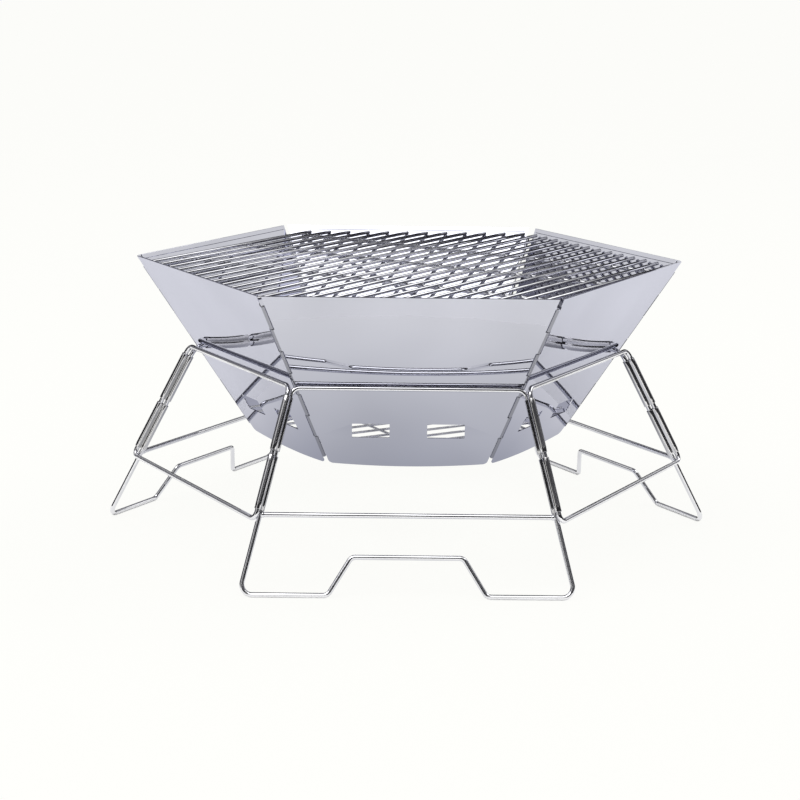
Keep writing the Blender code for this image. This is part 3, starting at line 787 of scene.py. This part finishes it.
# Bowl panels
def edge_point(hand, distance, inset):
    """Point on the panel's left (-1) or right (+1) pin line, moved inward by inset."""
    across = RIM_HALF_WIDTH - distance * SIDE_ACROSS - inset * SIDE_UP
    up = PANEL_HEIGHT - distance * SIDE_UP + inset * SIDE_ACROSS
    return Vector((hand * across, up, 0.0))


def distance_at(height, inset):
    return (PANEL_HEIGHT - height + inset * SIDE_ACROSS) / SIDE_UP


def knuckle_start(index):
    return KNUCKLE_START * SIDE_LENGTH + index * KNUCKLE_PITCH + KNUCKLE_GAP / 2


def own_knuckles(side, corner):
    if side not in LONG_SIDES:
        return range(0, KNUCKLE_COUNT, 2)
    if corner == OPEN_CORNER:
        return range(0)
    return range(1, KNUCKLE_COUNT, 2)


def edge_inset(side, corner):
    if side in LONG_SIDES and corner == OPEN_CORNER:
        return OPEN_CORNER_INSET
    return PANEL_EDGE_INSET


def panel_edge(side, corner, hand):
    inset = edge_inset(side, corner)
    points = [edge_point(hand, distance_at(PANEL_HEIGHT, inset), inset)]
    for index in own_knuckles(side, corner):
        start = knuckle_start(index) + TAB_GAP
        finish = knuckle_start(index) + KNUCKLE_LENGTH - TAB_GAP
        points += [edge_point(hand, distance, depth) for distance, depth in (
            (start, inset), (start, TAB_INSET), (finish, TAB_INSET), (finish, inset))]
    points.append(edge_point(hand, distance_at(0.0, inset), inset))
    return points


def panel_matrix(side):
    outward = heading(corner_angle(side + 0.5))
    along = UP.cross(outward)
    normal = outward * math.cos(PANEL_TILT) - UP * math.sin(PANEL_TILT)
    origin = outward * (FLOOR_CORNER_RADIUS * CORNER_COSINE) + UP * FLOOR_HEIGHT
    return axes_matrix(along, normal.cross(along), normal, origin)


def rounded_corner(before, corner, after, radius, steps=8):
    """Points of the arc that rounds one corner of a flat outline."""
    back = (before - corner).normalized()
    ahead = (after - corner).normalized()
    half = back.angle(ahead) / 2
    centre = corner + (back + ahead).normalized() * (radius / math.sin(half))
    reach = radius / math.tan(half)
    start = (corner + back * reach - centre).normalized()
    finish = (corner + ahead * reach - centre).normalized()
    return [centre + start.slerp(finish, share) * radius for share in evenly(0.0, 1.0, steps)]


def vent_outline(across):
    half_width = sizes().vent_width / 2
    half_height = sizes().vent_height / 2
    corners = [Vector((across + x * half_width, VENT_CENTRE_HEIGHT + y * half_height, 0.0))
               for x, y in SQUARE]
    outline = []
    for index, corner in enumerate(corners):
        after = corners[(index + 1) % 4]
        outline += rounded_corner(corners[index - 1], corner, after, VENT_CORNER_RADIUS, 4)
    return outline


def sheet_outline(side):
    """Outline of a panel: tabs down both sides and a gently curved bottom."""
    second = (side + 1) % SIDES
    right = panel_edge(side, second, 1.0)
    left = panel_edge(side, side, -1.0)
    reach = BOTTOM_CORNER_RADIUS * 0.75
    low = []
    for share in evenly(1.0, -1.0, BOTTOM_STEPS)[1:-1]:
        across = right[-1].x * (1 + share) / 2 + left[-1].x * (1 - share) / 2
        point = Vector((across, -BOTTOM_BULGE * (1.0 - share * share), 0.0))
        if right[-1].x - point.x > reach and point.x - left[-1].x > reach:
            low.append(point)
    return (right[:-1] + rounded_corner(right[-2], right[-1], low[0], BOTTOM_CORNER_RADIUS) + low
            + rounded_corner(low[-1], left[-1], left[-2], BOTTOM_CORNER_RADIUS) + left[:-1][::-1])


def sheet_mesh(side):
    """Flat sheet with its vents, edges eased."""
    curve = bpy.data.curves.new("sheet", "CURVE")
    curve.dimensions = "2D"
    curve.fill_mode = "BOTH"
    curve.extrude = SHEET_THICKNESS / 2
    for outline in (sheet_outline(side), vent_outline(-VENT_OFFSET), vent_outline(VENT_OFFSET)):
        spline = curve.splines.new("POLY")
        spline.points.add(len(outline) - 1)
        for target, point in zip(spline.points, outline):
            target.co = (point.x, point.y, 0.0, 1.0)
        spline.use_cyclic_u = True
    flat = plain_mesh(link("sheet", curve))
    bpy.data.curves.remove(curve)
    slab = link("slab", joined_mesh(bmesh.new(), [flat], "slab"))
    ease_edges(slab)
    return plain_mesh(slab)


def hem_mesh(side):
    """Strip folded back inside the rim, with a rounded fold at its top."""
    longest = RIM_HALF_WIDTH - HEM_CORNER_GAP + PANEL_EDGE_INSET
    right = longest - edge_inset(side, (side + 1) % SIDES)
    left = longest - edge_inset(side, side)
    centre = Vector(((right - left) / 2, PANEL_HEIGHT - HEM_BELOW_RIM - HEM_HEIGHT / 2,
                     SHEET_INNER - HEM_THICKNESS / 2 + HEM_OVERLAP - SHEET_MIDDLE))
    work = bmesh.new()
    verts = bmesh.ops.create_cube(work, size=1.0)["verts"]
    bmesh.ops.scale(work, vec=(right + left, HEM_HEIGHT, HEM_THICKNESS), verts=verts)
    bmesh.ops.translate(work, vec=centre, verts=verts)
    bmesh.ops.bevel(work, geom=work.edges[:], offset=HEM_ROUNDING, segments=4, profile=0.5,
                    affect="EDGES")
    return mesh_of(work, "hem")


def knuckle_source():
    """One rolled knuckle from 0 up its own Z, with the open seam of the roll."""
    ring = [Vector((-KNUCKLE_LEAF, KNUCKLE_RADIUS - LEAF_DROP, 0.0))]
    for radius, first, last in ((KNUCKLE_RADIUS, *ROLL), (KNUCKLE_BORE_RADIUS, *ROLL[::-1])):
        ring += [circle_point(radius, turn, 0.0) for turn in evenly(first, last, KNUCKLE_STEPS)]
    ring.append(Vector((-KNUCKLE_LEAF, KNUCKLE_BORE_RADIUS, 0.0)))
    work = bmesh.new()
    face = work.faces.new([work.verts.new(point) for point in ring])
    made = bmesh.ops.extrude_face_region(work, geom=[face])["geom"]
    moved = [item for item in made if isinstance(item, bmesh.types.BMVert)]
    bmesh.ops.translate(work, vec=UP * KNUCKLE_LENGTH, verts=moved)
    knuckle = link("rolled_knuckle", mesh_of(work, "rolled_knuckle"))
    ease_edges(knuckle)
    return knuckle


def knuckle_row(hand, indices, knuckle, material):
    """The knuckles of one edge, set out along its pin line from the rim down."""
    top = edge_point(hand, 0.0, 0.0)
    down = (edge_point(hand, 1.0, 0.0) - top).normalized()
    turned = UP.cross(down).x * hand < 0
    axis = -down if turned else down
    start = knuckle_start(indices[0]) + (KNUCKLE_LENGTH if turned else 0.0)
    turn = axes_matrix(UP.cross(axis), UP, axis, (0.0, 0.0, 0.0)).to_euler()
    return grown(bpy.data.meshes.new("row"), get_tree("knuckle_row", knuckle_tree), {
        "Knuckle": knuckle, "Count": len(indices), "First": top + down * start - UP * SHEET_MIDDLE,
        "Step": down * (indices.step * KNUCKLE_PITCH), "Turn": turn, "Material": material})


def mark_sheet(mesh, bow, knuckle_shade_share):
    """Store each point's place across and up its panel, how bowed that is, and its share of painted
    knuckle shade.
    """
    values = [part for vertex in mesh.vertices for part in (vertex.co.x, vertex.co.y, bow)]
    mesh.attributes.new("sheet", "FLOAT_VECTOR", "POINT").data.foreach_set("vector", values)
    rolls = [knuckle_shade_share] * len(mesh.vertices)
    mesh.attributes.new("knuckle_shade_share", "FLOAT", "POINT").data.foreach_set("value", rolls)


class GRILL_OT_bowl_panels(bpy.types.Operator):
    """Cut the six sheet panels with their hems, vents and rolled knuckles"""
    bl_idname = "grill.bowl_panels"
    bl_label = "Bowl Panels"

    def execute(self, context):
        steel = get_material("sheet_finish", polished_sheet_material)
        knuckle = knuckle_source()
        for side, name in enumerate(SIDE_NAMES):
            matrix = panel_matrix(side) @ Matrix.Translation((0.0, 0.0, SHEET_MIDDLE))
            parts = [(sheet_mesh(side), 0.0), (hem_mesh(side), 0.0)]
            for hand, corner in ((1.0, (side + 1) % SIDES), (-1.0, side)):
                indices = own_knuckles(side, corner)
                if len(indices):
                    # Share of painted shade that this corner's knuckles take.
                    knuckle_shade_share = KNUCKLE_SHADE_BY_CORNER.get(CORNER_NAMES[corner], OTHER_KNUCKLE_SHADE)
                    parts.append((knuckle_row(hand, indices, knuckle, steel), knuckle_shade_share))
            for mesh, knuckle_shade_share in parts:
                mark_sheet(mesh, PANEL_BOW.get(name, OTHER_BOW), knuckle_shade_share)
                mesh.transform(matrix)
            meshes = [mesh for mesh, knuckle_shade_share in parts]
            fine_piece("bowl_%s_panel" % name, meshes, steel, 20.0, FLAT_AREA)
        bpy.data.objects.remove(knuckle, do_unlink=True)
        return {"FINISHED"}


def bowl_corner_point(corner, distance):
    height = RIM_HEIGHT - BOWL_DEPTH * distance / SIDE_LENGTH
    return ring_point(corner, bowl_radius(height), height)


class GRILL_OT_hinge_pins(bpy.types.Operator):
    """Push a pin through the knuckles of every corner"""
    bl_idname = "grill.hinge_pins"
    bl_label = "Hinge Pins"

    def execute(self, context):
        steel = get_material("pin_finish", drawn_wire_material, colours().pin, 0.18, 0.34, 0.2)
        radius = sizes().pin_radius
        top = knuckle_start(0) - PIN_OVERHANG
        low = knuckle_start(KNUCKLE_COUNT - 1) + KNUCKLE_LENGTH + PIN_OVERHANG
        for corner, name in enumerate(CORNER_NAMES):
            chain = straight_rod(bowl_corner_point(corner, top), bowl_corner_point(corner, low), radius)
            pin = swept([(chain, False)], radius, ROD_SIDES, steel)
            fine_piece("hinge_pin_%s" % name, [pin], steel)
        return {"FINISHED"}


# Grids
def inner_apothem(height):
    """Distance from the centre line to a panel's inner face."""
    return bowl_radius(height) * CORNER_COSINE + SHEET_INNER / math.cos(PANEL_TILT)


def chord(offset, angle, apothem, corner_reach, radius):
    """Ends of a bar across the bowl, at a sideways offset from the centre."""
    along = heading(angle)
    base = UP.cross(along) * offset
    far = corner_reach
    near = -corner_reach
    walls = [(corner_angle(side + 0.5), apothem) for side in range(SIDES)]
    walls += [(corner_angle(corner), corner_reach) for corner in range(SIDES)]
    for wall_angle, reach in walls:
        normal = heading(wall_angle)
        slope = along.dot(normal)
        if abs(slope) < 1e-6:
            continue
        half = radius * (math.sqrt(max(0.0, 1.0 - slope * slope)) + math.tan(PANEL_TILT))
        limit = (reach - half - base.dot(normal)) / slope
        if slope > 0:
            far = min(far, limit)
        else:
            near = max(near, limit)
    return base + along * near, base + along * far


def crossed_rods(node, angle, top, radius, spacing, count, braces, overhang):
    """A grid of parallel rods on crossing rods, with a weld at every crossing."""
    steel = get_material("rod_finish", rod_material)
    gap = GRID_CLEARANCE / math.cos(PANEL_TILT)
    reach = bowl_radius(top) - KNUCKLE_RADIUS - 2 * GRID_CLEARANCE
    low = top - 2 * radius + WELD_DEPTH
    along = heading(angle)
    across = UP.cross(along)
    half_length = ((count - 1) * spacing + 2 * (radius + overhang)) / 2

    def ends(offset, turn, height, axis):
        points = chord(offset, angle - turn, inner_apothem(height) - gap, reach, radius)
        return sorted(point.dot(axis) for point in points)

    top_rods = []
    for index in range(count):
        offset = (index - (count - 1) / 2) * spacing
        top_rods.append((*ends(offset, 0.0, top, along), offset))
    low_rods = []
    for offset in braces:
        near, far = ends(offset, math.pi / 2, low, across)
        low_rods.append((max(near, -half_length), min(far, half_length), offset))
    chains = []
    for rods, axis, side, height in ((top_rods, along, across, top), (low_rods, across, along, low)):
        for near, far, offset in rods:
            base = side * offset + UP * height
            chains.append((straight_rod(base + axis * near, base + axis * far, radius), False))
    welds = [along * place + across * offset + UP * ((top + low) / 2)
             for near, far, place in low_rods for start, finish, offset in top_rods
             if near < offset < far and start < place < finish]
    parts = [swept(chains, radius, ROD_SIDES, steel), beads(welds, radius * 1.15, 0.55, steel)]
    fine_piece(node, parts, steel)


class GRILL_OT_charcoal_grate(bpy.types.Operator):
    """Lay the charcoal grate's wires low in the bowl"""
    bl_idname = "grill.charcoal_grate"
    bl_label = "Charcoal Grate"

    def execute(self, context):
        crossed_rods(
            "charcoal_grate", GRATE_ANGLE, GRATE_HEIGHT, sizes().grate_wire_radius,
            GRATE_WIRE_SPACING, GRATE_WIRE_COUNT, GRATE_BRACES, GRATE_BRACE_OVERHANG)
        return {"FINISHED"}


class GRILL_OT_cooking_grid(bpy.types.Operator):
    """Lay the cooking grid's slanting rods under the rim"""
    bl_idname = "grill.cooking_grid"
    bl_label = "Cooking Grid"

    def execute(self, context):
        crossed_rods(
            "cooking_grid", GRID_ANGLE, GRID_HEIGHT, sizes().grid_rod_radius,
            GRID_ROD_SPACING, GRID_ROD_COUNT, GRID_BRACES, GRID_BRACE_OVERHANG)
        return {"FINISHED"}


# Floor, light and camera
CAMERA_DISTANCE = 1.848
CAMERA_ELEVATION = math.radians(12.36)
CAMERA_AZIMUTH = math.radians(-0.15)
CAMERA_ROLL = math.radians(0.64)
CAMERA_LENS = 96.92
AIM_HEIGHT = 0.1072
AIM_SIDE = -0.0066
LIGHT_AIM = UP * 0.1
FLOOR_REACH = 40.0


def add_camera():
    level = heading(CAMERA_AZIMUTH - math.pi / 2)
    back = level * math.cos(CAMERA_ELEVATION) + UP * math.sin(CAMERA_ELEVATION)
    right = (-back).cross(UP).normalized()
    up = right.cross(-back)
    image_right = right * math.cos(CAMERA_ROLL) + up * math.sin(CAMERA_ROLL)
    image_up = up * math.cos(CAMERA_ROLL) - right * math.sin(CAMERA_ROLL)
    target = UP * AIM_HEIGHT + image_right * AIM_SIDE
    data = bpy.data.cameras.new("photo_camera")
    data.sensor_width = 36.0
    data.lens = CAMERA_LENS
    data.clip_start = 0.05
    data.clip_end = 100.0
    camera = link("photo_camera", data)
    camera.matrix_world = axes_matrix(image_right, image_up, back, target + back * CAMERA_DISTANCE)
    bpy.context.scene.camera = camera


def background_share(tree, camera_share, other_share):
    """How much of the plain background each kind of ray sees."""
    path = add_node(tree, "ShaderNodeLightPath").outputs
    total = 0.0
    for kind, share in (("Glossy", other_share), ("Transmission", other_share), ("Camera", camera_share)):
        seen = math_node(tree, "MULTIPLY", path["Is %s Ray" % kind], share)
        total = math_node(tree, "ADD", seen, total)
    return total


def mixed_shaders(tree, share, first, second, output):
    """Show two shaders mixed by a share."""
    feed(tree, output, {
        "Surface": add_node(tree, "ShaderNodeMixShader", {0: share, 1: first, 2: second})})


def floor_material():
    material, tree, shader = blank_material("pale_floor")
    colour = opaque(colours().floor)
    feed(tree, shader, {"Base Color": colour, "Roughness": 0.9, "Specular IOR Level": 0.0})
    glow = add_node(tree, "ShaderNodeEmission", {"Color": colour})
    mixed_shaders(
        tree, background_share(tree, 0.93, 0.05), shader, glow, tree.nodes["Material Output"])
    return material


# Rows of glowing cards seen only in reflections, which paint dark and grey reflections onto the steel:
# radius and height of the inner or lower edge, then of the other edge, brightness,
# and where each card starts round the set and how far it reaches, in degrees
CARD_ROWS = (
    ("ground", (0.62, 0.004), (3.3, 0.004), 0.04, ((46, 88), (156, 60), (232, 76), (324, 60))),
    ("low", (3.4, 0.010), (3.4, 1.750), 0.03, ((46, 88), (156, 60), (232, 142))),
    ("left", (3.4, 0.010), (3.4, 1.750), 0.20, ((134, 22),)),
    ("right", (3.4, 0.010), (3.4, 0.800), 0.10, ((14, 32),)),
    ("right_top", (3.4, 0.800), (3.4, 1.450), 0.42, ((14, 32),)),
    ("high", (3.4, 1.800), (2.3, 2.900), 0.28, ((46, 88), (156, 60))),
    ("front", (3.4, 1.800), (2.3, 2.900), 0.10, ((232, 142),)),
    ("behind", (2.3, 2.950), (0.1, 3.400), 0.12, ((46, 88),)),
)
CARD_STEPS = 10
# The shade disc paints the floor's shadow under the bowl into reflections only: the floor's colour,
# darker and cooler towards its middle.
SHADE_STEPS = 36
SHADE_HEIGHT = 0.003
SHADE_FROM = 0.10
SHADE_RADIUS = 0.27
SHADE_CENTRE = (0.41, 0.425, 0.475, 1.0)
SHADE_STRENGTH = 1.03


# Plain glow for the cards, which paint reflections onto the steel.
def glow_material(name, level):
    material, tree = blank_material(name)[:2]
    glow = add_node(tree, "ShaderNodeEmission", {"Color": (level, level, level * 1.08, 1.0)})
    feed(tree, tree.nodes["Material Output"], {"Surface": glow})
    return material, tree, glow


def shade_material():
    """Painted shadow for reflections: the floor's colour, darker and cooler under the middle of the bowl.
    """
    material, tree, glow = glow_material("card_shade", 1.0)
    reach = add_node(
        tree, "ShaderNodeVectorMath", {0: object_vector(tree)}, operation="LENGTH")
    share = ranged(tree, reach.outputs["Value"], 0.0, 1.0, SHADE_FROM, SHADE_RADIUS)
    colour = ramped(tree, share, SHADE_CENTRE, opaque(colours().floor))
    feed(tree, glow, {"Color": colour, "Strength": SHADE_STRENGTH})
    return material


def reflected_only(name, verts, faces, material):
    """Card that shows in reflections and is hidden from the camera and from the floor's light."""
    mesh = bpy.data.meshes.new(name)
    mesh.from_pydata(verts, [], faces)
    mesh.materials.append(material)
    card = link(name, mesh)
    card.visible_camera = False
    card.visible_diffuse = False
    card.visible_shadow = False


def add_cards():
    """Dark glowing cards round the set and a shade disc under the bowl, seen only in reflections: painted
    reflections that give bright steel its edges, and a painted shadow under the bowl.
    """
    width = CARD_STEPS + 1
    faces = [(k, k + 1, width + k + 1, width + k) for k in range(CARD_STEPS)]
    for label, first, second, level, spans in CARD_ROWS:
        material = glow_material("card_" + label, level)[0]
        for index, (start, span) in enumerate(spans):
            verts = [circle_point(radius, turn, height) for radius, height in (first, second)
                     for turn in evenly(start, start + span, CARD_STEPS)]
            reflected_only("card_%s_%d" % (label, index), verts, faces, material)
    verts = [circle_point(SHADE_RADIUS, turn, SHADE_HEIGHT)
             for turn in evenly(0.0, 360.0, SHADE_STEPS)[:-1]]
    reflected_only("card_shade", verts, [tuple(range(SHADE_STEPS))], shade_material())


def add_soft_light(name, place, size, power):
    data = bpy.data.lights.new(name, "AREA")
    data.shape = "RECTANGLE"
    data.size, data.size_y = size
    data.energy = power
    lamp = link(name, data)
    lamp.location = place
    lamp.rotation_euler = (LIGHT_AIM - Vector(place)).to_track_quat("-Z", "Y").to_euler()


def add_world():
    world = bpy.data.worlds.new("studio_air")
    bpy.context.scene.world = world
    world.use_nodes = True
    tree = world.node_tree
    tree.nodes.clear()
    soft = add_node(tree, "ShaderNodeBackground", {
        "Color": (1.0, 1.0, 1.0, 1.0), "Strength": 0.85})
    plain = add_node(tree, "ShaderNodeBackground", {
        "Color": opaque(colours().floor), "Strength": 1.0})
    mixed_shaders(tree, background_share(tree, 1.0, 1.0), soft, plain,
                  add_node(tree, "ShaderNodeOutputWorld"))


class GRILL_OT_stage(bpy.types.Operator):
    """Set the floor, the soft light, the cards that paint reflections and shadow into the steel, and the
    camera
    """
    bl_idname = "grill.stage"
    bl_label = "Stage"

    def execute(self, context):
        mesh = bpy.data.meshes.new("floor")
        corners = [(x * FLOOR_REACH, y * FLOOR_REACH, 0.0) for x, y in SQUARE]
        mesh.from_pydata(corners, [], [(0, 1, 2, 3)])
        mesh.materials.append(floor_material())
        floor = link("floor", mesh)
        add_cards()
        add_world()
        add_soft_light("key_light", (-0.8, -1.0, 2.4), (2.7, 1.7), 26.0)
        add_soft_light("fill_light", (1.6, 0.8, 2.0), (1.6, 1.2), 10.0)
        add_camera()
        context.scene.view_settings.view_transform = "Standard"
        return {"FINISHED"}


class GRILL_PT_builder(bpy.types.Panel):
    """Buttons and sizes of the grill"""
    bl_idname = "GRILL_PT_builder"
    bl_label = "Folding Charcoal Grill"
    bl_space_type = "VIEW_3D"
    bl_region_type = "UI"
    bl_category = "Grill"

    def draw(self, context):
        column = self.layout.column(align=True)
        for operator in OPERATORS:
            column.operator(operator.bl_idname)
        for group in (context.scene.grill_sizes, context.scene.grill_colours):
            for name in group.bl_rna.properties.keys():
                if name not in ("rna_type", "name"):
                    self.layout.prop(group, name)


OPERATORS = (
    GRILL_OT_stage,
    GRILL_OT_wire_stand,
    GRILL_OT_corner_clips,
    GRILL_OT_bowl_panels,
    GRILL_OT_hinge_pins,
    GRILL_OT_charcoal_grate,
    GRILL_OT_cooking_grid,
)
CLASSES = (GrillSizes, GrillColours) + OPERATORS + (GRILL_PT_builder,)


def register():
    for cls in CLASSES:
        bpy.utils.register_class(cls)
    bpy.types.Scene.grill_sizes = bpy.props.PointerProperty(type=GrillSizes)
    bpy.types.Scene.grill_colours = bpy.props.PointerProperty(type=GrillColours)


def unregister():
    del bpy.types.Scene.grill_colours
    del bpy.types.Scene.grill_sizes
    for cls in reversed(CLASSES):
        bpy.utils.unregister_class(cls)


def main():
    register()
    bpy.ops.grill.stage()
    bpy.ops.grill.wire_stand()
    bpy.ops.grill.corner_clips()
    bpy.ops.grill.bowl_panels()
    bpy.ops.grill.hinge_pins()
    bpy.ops.grill.charcoal_grate()
    bpy.ops.grill.cooking_grid()


if __name__ == "__main__":
    main()
